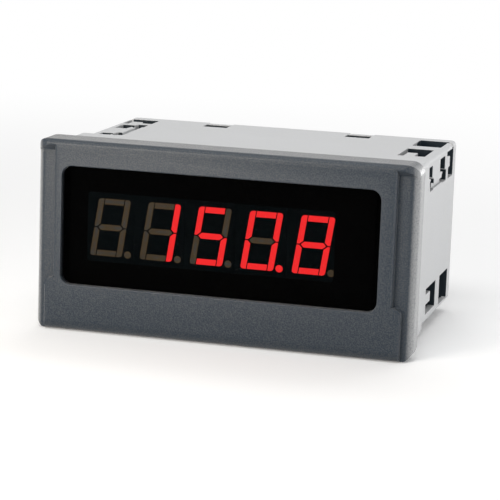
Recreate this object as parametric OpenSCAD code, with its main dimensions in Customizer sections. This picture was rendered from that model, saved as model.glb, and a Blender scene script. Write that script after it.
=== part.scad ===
// Digital panel meter with a 96 x 48 mm front and a five-digit LED display.
// X runs to the right, Y runs back through the panel and Z runs up.
// The origin is the centre of the plane where the front frame meets the panel.
// All sizes are in millimetres.

/* [Front frame] */
// Width of the front frame
front_w = 96; // [94:0.5:100]
// Height of the front frame
front_h = 48; // [47:0.5:52]
// Depth of the front frame ahead of the panel
frame_t = 8.4; // [7.8:0.1:10]
// Height of the side recesses' floor ahead of the panel
flange_t = 6.4; // [5.6:0.1:6.8]
// Corner radius of the frame's outline
front_r = 3; // [1.5:0.5:5]
// Radius where the face turns under at the bottom
chin_r = 3; // [1:0.5:4]
// Half width of the raised face beside the window
face_x = 43; // [42.5:0.1:44]
// Half width of the raised face below the window
chin_x = 45.2; // [45:0.1:45.5]
// Height at which the raised face widens
step_z = -10.6; // [-14:0.1:-6]

/* [Window] */
// Width of the window
window_w = 80.2; // [76:0.1:81]
// Height of the window
window_h = 29.7; // [26:0.1:31]
// Sideways place of the window's centre
window_x = -0.8; // [-1:0.1:1]
// Height of the window's centre above the middle of the front
window_z = 2.75; // [1:0.05:4]
// Corner radius of the window
window_r = 2.6; // [1:0.1:4]

/* [Display] */
// Distance between two digits
digit_pitch = 12.9; // [12.7:0.1:13.2]
// Height of a digit
digit_h = 14.4; // [13:0.1:14.6]
// Width of a digit at its foot
digit_w = 8.3; // [7.5:0.1:8.6]
// Width of a lit bar
bar_w = 1.45; // [1:0.05:1.8]
// Lean of the digits, in degrees
digit_lean = 8.3; // [0:0.1:10]
// Sideways place of the display's centre
display_x = -3.6; // [-4:0.1:-3]
// Height of the display's centre
display_z = 2.45; // [2:0.05:3]

/* [Housing] */
// Width of the housing behind the collar
case_w = 89.7; // [89:0.1:90.2]
// Height of the housing behind the collar
case_h = 42.6; // [42:0.1:43.4]
// Depth of the housing behind the panel
case_d = 58; // [58:0.5:62]
// Wall thickness of the housing
wall = 2; // [1.8:0.1:2.2]
// Width of the collar that passes through the panel
collar_w = 91.7; // [91.2:0.1:91.8]
// Height of the collar that passes through the panel
collar_h = 44.7; // [44.2:0.1:44.8]
// Depth of the collar behind the panel
collar_d = 16.3; // [12:0.1:17]
// Depth of the sockets that the fixing clamps hook into
socket_depth = 3.3; // [2.5:0.1:3.5]

/* [Terminals] */
// Distance between two terminals
pole_pitch = 7.62; // [7.2:0.01:7.8]
// Radius of a terminal screw's shank
shank_r = 1.45; // [1.3:0.05:1.45]
// Travel of a wire clamp
clamp_travel = 2.8; // [2:0.1:2.8]

/* [Hidden] */

gap = 0.1;                       // play between pieces that slide together
over = 1;                        // how far a cutter runs past a face
sunk = 0.5;                      // how far a joined piece runs into its wall
arc_n = 6;                       // flats on a rounded outer corner
fine_n = 10;                     // flats on the frame's larger side rounds

// Front frame and window
edge_r = 1.2;                    // rounding of the frame's top edge
side_r = 4.4;                    // rounding of the frame's sides above the recesses
flange_r = 2.4;                  // rounding of the recessed flange's outer edge
shoulder_r = 0.9;                // rounding of the raised face's sides
recess_top = 22.9;               // upper end of the side recesses at the face
recess_end = 20.9;               // and at their floor
step_r = 2;                      // corner of the wider part of the face
skin_t = 2.2;                    // front wall of the frame
seat_y = -4.4;                   // where the housing butts inside the frame
pane_y = -frame_t + 0.45;        // front of the window pane
lip = 2.4;                       // how far the pane's flange runs behind the frame
lip_t = 0.9;                     // thickness of that flange
mask_t = 0.15;                   // printed mask behind the pane
mask_w = 62.8;                   // clear part of the mask
mask_h = 17.4;
mask_r = 0.9;
mask_lap = 1;                    // how far the mask runs past the window
pane_gap = 0.2;                  // play around the pane
lip_r = window_r + 1;
skin_y = -frame_t + skin_t;      // inner face of the front wall
pane_back = skin_y + lip_t;
seal_t = 0.8;                    // thickness and width of the panel seal
seal_w = 1;
collar_r = 2;                    // corners of the collar
catch_w = 12;                    // the frame's snap catches on the collar
catch_y = [-3.2, -1.8];
catch_h = 0.5;

// Display
digit_y = pane_back + mask_t;    // front face of the digits
module_w = digit_pitch - 0.04;   // one digit's moulding
module_h = 18;
module_d = 8;
bar_t = 0.6;                     // depth of the light bars
bar_gap = 0.3;                   // dark gap between two bars
point_r = 0.9;                   // decimal point
point_at = [digit_w + 1.5, 0.72];
foot_x = -4.9;                   // foot of a digit from its moulding's centre
lit = ["", "bc", "acdfg", "abcdefp", "abcdefg"];
board_t = 1.6;                   // all circuit boards
display_back = digit_y + module_d + board_t;

// Housing
case_r = 1.2;                    // corners of the housing
rail_w = 1.35;                   // corner rail between two sockets
rail_tip = 52.5;                 // the rail's free end
socket_w = 9;                    // socket, measured from the corner
socket_rear = 54.5;
block_w = 10.4;                  // corner block that the sockets are sunk into
block_t = 4.8;
block_y = [19.5, 56];
hook_x = 19.5;                   // cover hooks along the top
hook_low_x = 29;                 // and along the bottom
hook_w = 5.2;
hook_t = 1.2;
hook_y = 49.8;                   // free end of a hook
slot_w = 6.6;                    // slots that the hooks snap into
slot_y = [50.5, 55];
notch_y = 1.2;                   // prising notches in the rear edge
notch_t = 0.8;
vents = 9;
vent_pitch = 6;
vent_w = 1.6;
vent_h = 7;
vent_z = 5;
stop_x = 38.5;                   // stops behind the display board's corners
stop_z = 15;
entry_slot_y = [44, 48];         // opening below the wire entries

// Boards and their guide rails
main_z = 6;                      // underside of the main board
supply_z = -12.6;                // underside of the supply board
main_w = 83.8;
supply_w = 79.4;
display_w = 86.4;                // display board
display_h = 39.4;
boards_y = 8;
main_rear = 50;
rail_t = 1.2;
rail_grip = [1.4, 0.8];          // cover of the rails over the main and the supply board
supply_top = supply_z + board_t;
supply_rear = 42;
main_top = main_z + board_t;

// Terminals
poles = 6;
strip_w = poles * pole_pitch + 1.2;
strip_y = [42.2, case_d - 0.4];
strip_z = [-19.2, -8.4];
cell_w = 5.9;
cell_z = [-18.6, -11.7];
screw_z = -15.2;
head_r = 2.5;
head_seat = strip_y[1] - 2.6;    // floor of the screw wells
neck_y = head_seat - 1;          // back of the clamp's cell
contact_y = [47.4, 48.2];        // the fixed contact bar
clamp_wall = 1;
clamp_side = 0.8;
clamp_w = 5.6;
clamp_z = [-18.2, -12.2];
clamp_top = 51;                  // rear face of an open clamp
clamp_rear_t = 1.4;
clamp_front = contact_y[0] - clamp_travel - 0.1 - clamp_wall;
tail_z = [-10.3, -9.5];
tail_w = 2.4;
tail_pin_y = 38;
entry_w = 3.6;

// Points along an arc about c, from angle a0 to a1
function arc(c, r, a0, a1, n = arc_n) =
    [for (i = [0:n]) let (a = a0 + (a1 - a0) * i / n) c + r * [cos(a), sin(a)]];

// Outline of a rectangle with round corners
function round_rect(w, h, r, n = arc_n) = concat(
    arc([w / 2 - r, h / 2 - r], r, 0, 90, n), arc([r - w / 2, h / 2 - r], r, 90, 180, n),
    arc([r - w / 2, r - h / 2], r, 180, 270, n), arc([w / 2 - r, r - h / 2], r, 270, 360, n));

// Place along X of terminal i
function pole_x(i) = (i - (poles + 1) / 2) * pole_pitch;

// A front-view outline (X, Z) drawn back from y0 to y1
module plate_y(y0, y1) translate([0, y1, 0]) rotate([90, 0, 0]) linear_extrude(y1 - y0) children();

// A side-view outline (Y, Z) drawn along X from x0 to x1
module bar_x(x0, x1) translate([x0, 0, 0]) rotate([90, 0, 90]) linear_extrude(x1 - x0) children();

// A plan outline (X, Y) drawn up from z0 to z1
module slab_z(z0, z1) translate([0, 0, z0]) linear_extrude(z1 - z0) children();

// A box given by its limits along each axis
module block(x, y, z)
    translate([x[0], y[0], z[0]]) cube([x[1] - x[0], y[1] - y[0], z[1] - z[0]]);

// The same shape on the right and on the left
module both_sides() {
    children();
    mirror([1, 0, 0]) children();
}

// ---- Front frame ----

// Side view of the frame: a small round at the top, a full one at the bottom
function frame_side() = concat([[0, -front_h / 2], [0, front_h / 2]],
    arc([edge_r - frame_t, front_h / 2 - edge_r], edge_r, 90, 180),
    arc([chin_r - frame_t, chin_r - front_h / 2], chin_r, 180, 270, 8));

// Plan view of the frame, with round front edges
function frame_plan() = concat([[front_w / 2, 0], [-front_w / 2, 0]],
    arc([side_r - front_w / 2, side_r - frame_t], side_r, 180, 270, fine_n),
    arc([front_w / 2 - side_r, side_r - frame_t], side_r, 270, 360, fine_n));

// Plan view of what a side recess takes away, out from the raised face at x
function recess_plan(x) = concat([[x - shoulder_r, -frame_t - over]],
    arc([x - shoulder_r, shoulder_r - frame_t], shoulder_r, 270, 360),
    [[x, -flange_t]],
    arc([front_w / 2 - flange_r, flange_r - flange_t], flange_r, 270, 360, fine_n),
    [[front_w / 2 + over, flange_r - flange_t], [front_w / 2 + over, -frame_t - over]]);

// Front view of the corner where the raised face widens
function step_corner() = concat([[front_w / 2 + over, step_z + 0.01], [face_x, step_z + 0.01]],
    arc([chin_x - step_r, step_z - step_r], step_r, 90, 0), [[front_w / 2 + over, step_z - step_r]]);

// Side view of a recess: its floor runs up into the face in a soft S
function recess_side() = concat([[-frame_t - over, step_z - over], [0, step_z - over], [0, recess_end]],
    [for (i = [0:fine_n]) let (t = i / fine_n)
        [-flange_t - (frame_t - flange_t) * (1 - cos(180 * t)) / 2, recess_end + (recess_top - recess_end) * t]],
    [[-frame_t - over, recess_top]]);

// Recess beside the raised face, wider beside the window than beside the chin
module side_recess() {
    intersection() {
        slab_z(step_z, recess_top) polygon(recess_plan(face_x));
        bar_x(face_x - over, front_w / 2 + over) polygon(recess_side());
        plate_y(-frame_t - over, 0) polygon(concat(
            [[front_w / 2 + over, step_z - over], [front_w / 2 + over, recess_top]],
            arc([face_x + 0.1, recess_top - 1], 1, 90, 180),
            [[face_x - shoulder_r, step_z - over]]));
    }
    slab_z(-front_h / 2 - over, step_z - step_r) polygon(recess_plan(chin_x));
    plate_y(-frame_t - over, -flange_t) polygon(step_corner());
    intersection() {
        slab_z(step_z - step_r, step_z) polygon(recess_plan(chin_x));
        plate_y(-frame_t - over, 0) polygon(step_corner());
    }
}

// Front view of the collar, grown all round
function collar_plan(grown) = round_rect(collar_w + 2 * grown, collar_h + 2 * grown, collar_r + grown);

// Catches on the collar that the frame snaps over
module snap_catches(extra) {
    for (s = [-1, 1]) {
        block([-catch_w / 2 - extra, catch_w / 2 + extra], catch_y + [-extra, extra],
            s > 0 ? [collar_h / 2 - sunk, collar_h / 2 + catch_h + extra]
                  : [-collar_h / 2 - catch_h - extra, sunk - collar_h / 2]);
    }
}

module front_frame() color("dimgray") difference() {
    intersection() {
        plate_y(-frame_t, 0) polygon(round_rect(front_w, front_h, front_r));
        bar_x(-front_w / 2, front_w / 2) polygon(frame_side());
        slab_z(-front_h / 2, front_h / 2) polygon(frame_plan());
    }
    both_sides() side_recess();
    translate([window_x, 0, window_z]) {
        plate_y(-frame_t - over, 0) polygon(round_rect(window_w, window_h, window_r));
        plate_y(skin_y, 0) polygon(round_rect(window_w + 2 * lip, window_h + 2 * lip, lip_r));
    }
    plate_y(seat_y, over) polygon(collar_plan(gap));
    plate_y(-seal_t, over) polygon(collar_plan(gap + seal_w));
    snap_catches(gap);
}

module window() color("black") translate([window_x, 0, window_z]) {
    plate_y(pane_y, skin_y)
        polygon(round_rect(window_w - 2 * pane_gap, window_h - 2 * pane_gap, window_r - pane_gap));
    plate_y(skin_y, pane_back)
        polygon(round_rect(window_w + 2 * (lip - gap), window_h + 2 * (lip - gap), lip_r - gap));
}

module display_mask() color("black") difference() {
    translate([window_x, 0, window_z]) plate_y(pane_back, digit_y)
        polygon(round_rect(window_w + 2 * mask_lap, window_h + 2 * mask_lap, window_r));
    translate([display_x, 0, display_z]) plate_y(pane_back - over, digit_y + over)
        polygon(round_rect(mask_w, mask_h, mask_r));
}

module panel_seal() color("black") difference() {
    plate_y(-seal_t, 0) polygon(collar_plan(gap + seal_w));
    plate_y(-seal_t - over, over) polygon(collar_plan(gap));
}

// ---- Display ----

// A point of a digit, leaned over
function leaned(p) = [p[0] + p[1] * tan(digit_lean), p[1]];

// Outline of one upright bar's upper half, on the left; e, c and b are its mirror images
function upright_bar() = concat(
    [[0, digit_h / 2 + bar_gap / 2], [0.45 * bar_w, digit_h / 2 + bar_gap / 2],
     [bar_w, digit_h / 2 + bar_w / 2 + bar_gap / 2], [bar_w, digit_h]],
    arc([bar_w / 2, digit_h - bar_w / 2], bar_w / 2, 90, 180, 4));

// Outline of the bar with a given letter, a to g in the usual order
function bar_outline(letter) =
    let (x0 = bar_w + bar_gap * 0.8, x1 = digit_w - x0, m = digit_h / 2, h = bar_w / 2)
    letter == "a" ? [[x0, digit_h - bar_w], [x1, digit_h - bar_w], [x1, digit_h], [x0, digit_h]] :
    letter == "d" ? [[x0, 0], [x1, 0], [x1, bar_w], [x0, bar_w]] :
    letter == "g" ? [[h + bar_gap, m], [x0 + 0.1, m - h], [x1 - 0.1, m - h],
                     [digit_w - h - bar_gap, m], [x1 - 0.1, m + h], [x0 + 0.1, m + h]] :
    [for (p = upright_bar()) [
        letter == "b" || letter == "c" ? digit_w - p[0] : p[0],
        letter == "c" || letter == "e" ? digit_h - p[1] : p[1]]];

// Lower left corner of digit k, from 1 to 5
function digit_foot(k) = [display_x + (k - 3) * digit_pitch + foot_x, 0, display_z - digit_h / 2];

// Bars of digit k whose letters are in the list, from the front face back
module bars(k, letters, depth) translate(digit_foot(k)) for (letter = letters) {
    if (letter == "p")
        plate_y(digit_y, digit_y + depth) translate(point_at) circle(r = point_r, $fn = 24);
    else
        plate_y(digit_y, digit_y + depth) polygon([for (p = bar_outline(letter)) leaned(p)]);
}

// Letters of digit k that are lit, or that are dark
function letters(k, on) = [for (letter = "abcdefgp") if ((len(search(letter, lit[k - 1])) > 0) == on) letter];

module digit(k) color([0.08, 0.09, 0.1]) difference() {
    translate([display_x + (k - 3) * digit_pitch, 0, display_z])
        plate_y(digit_y, digit_y + module_d) square([module_w, module_h], center = true);
    bars(k, letters(k, true), bar_t);
    bars(k, letters(k, false), bar_t);
}

module lit_bars() color("red") for (k = [1:5]) bars(k, letters(k, true), bar_t);

module unlit_bars() color([0.3, 0.25, 0.2]) for (k = [1:5]) bars(k, letters(k, false), bar_t);

// ---- Housing ----

// One corner of the housing: Y stays, X and Z run away from the solid
module at_corner(i) {
    side = [[1, 1], [1, -1], [-1, -1], [-1, 1]][i];
    translate([side[0] * case_w / 2, 0, side[1] * case_h / 2]) rotate([0, 90 * i, 0]) children();
}

// Block in a corner, L-shaped in front view, that the sockets are sunk into
module corner_block() plate_y(block_y[0], block_y[1]) polygon([
    [-block_w, -sunk], [-sunk, -sunk], [-sunk, -block_w], [-block_t, -block_w],
    [-block_t, -block_t], [-block_w, -block_t]]);

// Plan outlines of the socket on a corner's first face; x is minus the distance from the corner
socket_hooks = [
    [[-2.2, 25.5], [-2.2, 38], [-socket_w, 38], [-socket_w, 25], [-7.5, 25], [-7.5, 31], [-4.9, 31], [-4.9, 25.5]],
    [[-rail_w, 43.3], [-rail_w, socket_rear], [-socket_w, socket_rear], [-socket_w, 43.3]]
];

// Outlines (Y, Z) of the socket on the corner's second face
socket_teeth = [
    [[22, -2.2], [26.2, -2.2], [26.2, -5.2], [28.4, -5.8], [28.4, -8.6],
     [24, -8.6], [23.2, -6.4], [24.6, -5.4], [22, -5]],
    [[36.2, -2], [43, -2], [43, -5.4], [45, -5.8], [45, -8.6], [40.4, -8.6],
     [38.6, -6.6], [40, -5.6], [36.2, -5.2]],
    [[45.4, -rail_w], [socket_rear, -rail_w], [socket_rear, -8.6], [47.6, -8.6], [47.6, -5.8], [49.6, -5.6],
     [49.6, -2.9], [45.4, -2.6]]
];

// Shallow guide that joins the first two of those openings
guide_t = 0.7;
guide_y = [28, 40.2];
guide_z = [-8.3, -7];

// Everything cut away for the clamp socket in one corner
module clamp_socket() {
    for (outline = socket_hooks) slab_z(-socket_depth, over) polygon(outline);
    for (outline = socket_teeth) bar_x(-socket_depth, over) polygon(outline);
    block([-rail_w - over, over], [rail_tip, socket_rear], [-rail_w - over, over]);
    block([-guide_t, over], guide_y, guide_z);
}

// Ribs that a board slides between, on both side walls
module board_rails(z, x, y1) both_sides() for (rib_z = [z - gap - rail_t, z + board_t + gap])
    block([x, case_w / 2 - wall + sunk], [collar_d + 0.5, y1], [rib_z, rib_z + rail_t]);

module housing_shell() difference() {
    union() {
        plate_y(seat_y, collar_d) polygon(collar_plan(0));
        plate_y(0, case_d) polygon(round_rect(case_w, case_h, case_r, 4));
        snap_catches(0);
    }
    plate_y(seat_y - over, collar_d - wall)
        square([collar_w - 2 * wall + 0.2, collar_h - 2 * wall + 0.2], center = true);
    plate_y(0, case_d + over) square([case_w - 2 * wall, case_h - 2 * wall], center = true);
}

module housing() color("gainsboro") difference() {
    union() {
        housing_shell();
        for (i = [0:3]) at_corner(i) corner_block();
        board_rails(main_z, main_w / 2 - rail_grip[0], slot_y[1]);
        board_rails(supply_z, supply_w / 2 - rail_grip[1], supply_rear);
        for (s = [-1, 1]) both_sides()
            block([stop_x, collar_w / 2 - sunk], [display_back, collar_d - sunk],
                s > 0 ? [stop_z, collar_h / 2 - sunk] : [sunk - collar_h / 2, -stop_z]);
    }
    for (i = [0:3]) at_corner(i) clamp_socket();
    both_sides() {
        block([hook_x - slot_w / 2, hook_x + slot_w / 2], slot_y, [case_h / 2 - wall - over, case_h / 2 + over]);
        block([hook_x - slot_w / 2, hook_x + slot_w / 2], [case_d - notch_y, case_d + over],
            [case_h / 2 - notch_t, case_h / 2 + over]);
        block([hook_low_x - slot_w / 2, hook_low_x + slot_w / 2], slot_y,
            [-case_h / 2 - over, wall + over - case_h / 2]);
    }
    block([-strip_w / 2, strip_w / 2], entry_slot_y, [-case_h / 2 - over, wall + over - case_h / 2]);
}

// Snap hook of the rear cover, under the top wall at x
module cover_hook(x) translate([x, 0, 0]) {
    inner = case_h / 2 - wall;
    under = inner - 2 * gap;
    block(hook_w / 2 * [-1, 1], [hook_y, block_y[1] + sunk], [under - hook_t, under]);
    // The nose that catches in the slot
    bar_x(-hook_w / 2, hook_w / 2) polygon([[hook_y + 1, under - gap], [slot_y[1] - gap, under - gap],
        [slot_y[1] - gap, inner + hook_t], [slot_y[1] - 0.8, inner + hook_t], [hook_y + 1, under]]);
}

module rear_cover() color("gainsboro") difference() {
    union() {
        plate_y(block_y[1], case_d)
            square([case_w - 2 * (wall + gap), case_h - 2 * (wall + gap)], center = true);
        both_sides() {
            cover_hook(hook_x);
            mirror([0, 0, 1]) cover_hook(hook_low_x);
        }
    }
    block([-strip_w / 2 - gap, strip_w / 2 + gap], [block_y[1] - over, case_d + over],
        [-case_h / 2, strip_z[1] + gap]);
    // A row of vents above the terminals
    for (i = [1:vents]) translate([(i - (vents + 1) / 2) * vent_pitch, 0, vent_z])
        plate_y(block_y[1] - over, case_d + over) {
            square([vent_w, vent_h], center = true);
            for (s = [-1, 1]) translate([0, vent_h / 2 * s]) circle(r = vent_w / 2, $fn = 16);
        }
}

// ---- Circuit boards ----

module display_board() color("darkgreen")
    plate_y(display_back - board_t, display_back) square([display_w, display_h], center = true);

module main_board() color("darkgreen")
    block([-main_w / 2, main_w / 2], [boards_y, main_rear], [main_z, main_top]);

module supply_board() color("darkgreen") difference() {
    block([-supply_w / 2, supply_w / 2], [boards_y, supply_rear], [supply_z, supply_top]);
    for (i = [1:poles]) translate([pole_x(i), 0, 0])
        block([-0.6, 0.6], [tail_pin_y - 0.1, tail_pin_y + 0.9], [supply_z - over, supply_top + over]);
}

pin_pitch = 2.54;
pin_t = 0.64;
header_n = 10;
header_z = main_top + 1;
link_n = 6;
link_at = [18, 28];

// Pins that carry the display's signals, bent down onto the main board
module header_pins() color("gold") for (i = [1:header_n]) translate([(i - (header_n + 1) / 2) * pin_pitch, 0, 0])
    bar_x(-pin_t / 2, pin_t / 2) polygon([[display_back, header_z], [12.2, header_z], [12.2, main_top],
        [12.8, main_top], [12.8, header_z + pin_t], [display_back, header_z + pin_t]]);

module header_block() color("black") difference() {
    block([-header_n * pin_pitch / 2, header_n * pin_pitch / 2], [boards_y + 0.4, boards_y + 2.9],
        [main_top, main_top + 2.5]);
    header_pins();
}

// Upright pins that join the supply board to the main board
module link_pins() color("gold") for (i = [1:link_n])
    translate([link_at[0] + (i - (link_n + 1) / 2) * pin_pitch, link_at[1], 0])
        block([-pin_t / 2, pin_t / 2], [-pin_t / 2, pin_t / 2], [supply_top, main_z]);

module link_spacer() color("black") difference() {
    translate([link_at[0], link_at[1], 0])
        block(link_n * pin_pitch * [-0.5, 0.5], [-1.25, 1.25], [supply_top, supply_top + 2.5]);
    link_pins();
}

// ---- Supply parts ----

core_at = [-22, 22.5, supply_top + 7.5];
core = [30, 25, 9];
leg = 10;                        // centre leg
coil_w = 9.8;                    // half width of the bobbin's flanges

// Laminated core with a window on each side of its centre leg
module transformer_core() color("slategray") translate(core_at) difference() {
    cube(core, center = true);
    both_sides() block([leg / 2, core[0] / 2 - leg / 2], (core[1] / 2 - leg / 2) * [-1, 1], core[2] * [-1, 1]);
}

module tube_y(outer, inner, y0, y1) difference() {
    plate_y(y0, y1) square(outer, center = true);
    plate_y(y0 - over, y1 + over) square(inner, center = true);
}

module transformer_bobbin() color("ivory") translate(core_at) {
    bore = [leg + 0.2, core[2] + 0.2];
    tube_y(bore + [1.6, 1.6], bore, -7.4, 7.4);
    for (s = [-1, 1]) tube_y([2 * coil_w, 15], bore, s > 0 ? 6.6 : -7.4, s > 0 ? 7.4 : -6.6);
}

module transformer_winding() color("peru") translate(core_at) difference() {
    plate_y(-6.6, 6.6) polygon(round_rect(2 * coil_w - 1, 14, 2, 4));
    plate_y(-7, 7) square([leg + 1.8, core[2] + 1.8], center = true);
}

// Round can with a crimped foot, standing on the supply board
module can(r, h) rotate_extrude($fn = 48)
    polygon([[0, 0], [r, 0], [r, 0.9], [r - 0.4, 1.3], [r - 0.4, 1.8], [r, 2.2], [r, h - 0.4], [r - 0.4, h], [0, h]]);

module smoothing_capacitor() color("navy") translate([0, 15, supply_top]) can(5, 15);

module output_capacitors() color("navy") for (y = [13, 21]) translate([11, y, supply_top]) can(3.15, 11);

module rectifier() color("black") translate([0, 29, supply_top]) cylinder(r = 4.5, h = 5.5, $fn = 48);

module regulator() color("black") translate([27, 14, supply_top]) {
    block([-5, 5], [-2.2, 2.2], [0, 9]);
    difference() {
        block([-5, 5], [0.9, 2.2], [9, 15.4]);
        translate([0, 3, 12.4]) rotate([90, 0, 0]) cylinder(r = 1.8, h = 4, $fn = 32);
    }
}

module fuse() color("saddlebrown") translate([31, 26, supply_top]) cylinder(r = 4.2, h = 7.6, $fn = 48);

// ---- Parts on the main board ----

module chip(size) difference() {
    translate([-size[0] / 2, -size[1] / 2, 0]) cube(size);
    translate([1.2 - size[0] / 2, 1.2 - size[1] / 2, size[2] - 0.2]) cylinder(r = 0.5, h = over, $fn = 24);
}

module controller_chip() color("black") translate([-10, 30, main_top]) chip([10, 10, 1.4]);

module converter_chip() color("black") translate([12, 34, main_top]) chip([10.3, 7.5, 2.3]);

module crystal() color("silver") translate([2, 20, main_top]) {
    block([-3.4, 3.4], [-2.3, 2.3], [0, 3.5]);
    for (s = [-1, 1]) translate([3.4 * s, 0, 0]) cylinder(r = 2.3, h = 3.5, $fn = 32);
}

// ---- Terminals ----

// A round piece along Y, from y0 to y1, on the screw's axis
module round_y(r, y0, y1) translate([0, y0, screw_z]) rotate([-90, 0, 0]) cylinder(r = r, h = y1 - y0, $fn = 48);

// Moulded strip: a screw well, a clamp's cell and a wire entry for each pole
module terminal_strip() color([0.25, 0.27, 0.28]) difference() {
    block([-strip_w / 2, strip_w / 2], strip_y, strip_z);
    for (i = [1:poles]) translate([pole_x(i), 0, 0]) {
        block([-cell_w / 2, cell_w / 2], [strip_y[0] - over, neck_y], cell_z);
        round_y(head_r + 0.3, head_seat, case_d + over);
        round_y(shank_r + 0.05, neck_y - over, head_seat + over);
        block([-entry_w / 2, entry_w / 2], [clamp_front + clamp_wall, contact_y[0]], [strip_z[0] - over, cell_z[0] + over]);
        block([-tail_w / 2 - 0.05, tail_w / 2 + 0.05], [strip_y[0] - over, contact_y[1] + 0.05],
            [cell_z[1] - over, tail_z[1] + 0.05]);
    }
}

// Bars that the wires are clamped against, with their tails down into the supply board
module contact_bars() color("gold") for (i = [1:poles]) translate([pole_x(i), 0, 0]) {
    bar_x(-tail_w / 2, tail_w / 2) polygon([[contact_y[1], cell_z[0] + 0.4], [contact_y[1], tail_z[1]],
        [tail_pin_y, tail_z[1]], [tail_pin_y, tail_z[0]], [contact_y[0], tail_z[0]], [contact_y[0], cell_z[0] + 0.4]]);
    block([-0.5, 0.5], [tail_pin_y, tail_pin_y + 0.8], [supply_z - 1, tail_z[0]]);
}

module terminal_screw(i) color("silver") translate([pole_x(i), 0, 0]) difference() {
    union() {
        round_y(head_r, head_seat + gap, head_seat + 2);
        round_y(shank_r, contact_y[1] + 0.7, head_seat + 0.5);
    }
    translate([0, head_seat + 1, screw_z]) block([-0.4, 0.4], [0, 2], [-3, 3]);
}

// Cage that rises toward the screw's head and pulls the wire against its bar
module wire_clamp(i) color("silver") translate([pole_x(i), 0, 0]) difference() {
    block([-clamp_w / 2, clamp_w / 2], [clamp_front, clamp_top], clamp_z);
    block((clamp_w / 2 - clamp_side) * [-1, 1], [clamp_front + clamp_wall, clamp_top - clamp_rear_t],
        clamp_z + [-over, over]);
    round_y(shank_r + 0.05, clamp_top - clamp_rear_t - over, clamp_top + over);
}

front_frame();
window();
display_mask();
panel_seal();
housing();
rear_cover();
for (k = [1:5]) digit(k);
lit_bars();
unlit_bars();
display_board();
main_board();
supply_board();
header_block();
header_pins();
link_spacer();
link_pins();
transformer_core();
transformer_bobbin();
transformer_winding();
smoothing_capacitor();
output_capacitors();
rectifier();
regulator();
fuse();
controller_chip();
converter_chip();
crystal();
terminal_strip();
contact_bars();
for (i = [1:poles]) {
    terminal_screw(i);
    wire_clamp(i);
}
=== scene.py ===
# Digital panel meter: looks, pieces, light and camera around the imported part.
import math

import bmesh
import bpy
import numpy as np
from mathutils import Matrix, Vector


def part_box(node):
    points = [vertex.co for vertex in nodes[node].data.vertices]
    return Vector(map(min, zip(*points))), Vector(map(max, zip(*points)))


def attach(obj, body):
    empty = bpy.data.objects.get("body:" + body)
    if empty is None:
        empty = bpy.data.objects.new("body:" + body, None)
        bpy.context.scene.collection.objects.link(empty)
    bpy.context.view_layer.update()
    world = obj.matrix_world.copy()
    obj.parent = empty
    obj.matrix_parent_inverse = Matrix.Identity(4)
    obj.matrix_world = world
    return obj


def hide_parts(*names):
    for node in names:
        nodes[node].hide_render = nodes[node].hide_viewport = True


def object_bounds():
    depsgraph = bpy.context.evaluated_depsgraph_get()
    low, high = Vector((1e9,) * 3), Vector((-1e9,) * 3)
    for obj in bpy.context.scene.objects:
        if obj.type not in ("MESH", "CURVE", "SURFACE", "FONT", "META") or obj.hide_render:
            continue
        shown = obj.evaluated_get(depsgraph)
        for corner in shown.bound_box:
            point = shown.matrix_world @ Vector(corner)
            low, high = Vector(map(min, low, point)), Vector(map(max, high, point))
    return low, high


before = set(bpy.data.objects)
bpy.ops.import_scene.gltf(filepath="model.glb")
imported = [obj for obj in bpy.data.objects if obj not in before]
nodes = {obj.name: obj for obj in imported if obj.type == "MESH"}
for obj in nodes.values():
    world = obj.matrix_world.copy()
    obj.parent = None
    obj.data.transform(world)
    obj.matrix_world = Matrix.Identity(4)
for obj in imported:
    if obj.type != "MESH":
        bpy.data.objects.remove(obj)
cadLow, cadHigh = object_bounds()
mm = 0.001
poles = range(1, 7)                    # the six terminals
print("frame loaded with", len(nodes), "nodes")


# Link a socket, or set a plain value.
def wire(tree, target, value):
    if isinstance(value, bpy.types.NodeSocket):
        tree.links.new(value, target)
    else:
        target.default_value = value


def shaderNode(tree, kind, inputs=None, **settings):
    made = tree.nodes.new("ShaderNode" + kind)
    for key, value in settings.items():
        setattr(made, key, value)
    for key, value in (inputs or {}).items():
        wire(tree, made.inputs[key], value)
    return made


def calc(tree, operation, *values):
    made = shaderNode(tree, "Math", operation=operation)
    for socket, value in zip(made.inputs, values):
        wire(tree, socket, value)
    return made.outputs[0]


def place(tree):
    return shaderNode(tree, "TexCoord").outputs["Object"]


def axes(tree, vector):
    return shaderNode(tree, "SeparateXYZ", {0: vector}).outputs


def stretched(tree, vector, scale):
    return shaderNode(tree, "Mapping", {"Vector": vector, "Scale": scale}).outputs[0]


def noise(tree, vector, scale, detail=2.0, roughness=0.5):
    return shaderNode(tree, "TexNoise", {"Vector": vector, "Scale": scale, "Detail": detail,
                                         "Roughness": roughness}).outputs[0]


def cells(tree, vector, scale):
    return shaderNode(tree, "TexVoronoi", {"Vector": vector, "Scale": scale}).outputs[0]


# Value from low to high, carried over to toLow to toHigh.
def span(tree, value, low, high, toLow=0.0, toHigh=1.0, smooth=False):
    return shaderNode(tree, "MapRange", {0: value, 1: low, 2: high, 3: toLow, 4: toHigh},
                      interpolation_type="SMOOTHSTEP" if smooth else "LINEAR").outputs[0]


# Colour from first to second as amount goes from 0 to 1.
def between(tree, amount, first, second):
    made = shaderNode(tree, "Mix", data_type="RGBA")
    wire(tree, made.inputs[0], amount)
    for socket, colour in ((made.inputs[6], first), (made.inputs[7], second)):
        wire(tree, socket, colour if isinstance(colour, bpy.types.NodeSocket) else (*colour, 1.0))
    return made.outputs[2]


# Normal of a surface raised by height times depth.
def relief(tree, height, depth):
    return shaderNode(tree, "Bump", {"Height": height, "Distance": depth, "Strength": 1.0}).outputs[0]


# Two patterns added in shares.
def blend(tree, first, firstShare, second, secondShare):
    return calc(tree, "ADD", calc(tree, "MULTIPLY", first, firstShare),
                calc(tree, "MULTIPLY", second, secondShare))


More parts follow.
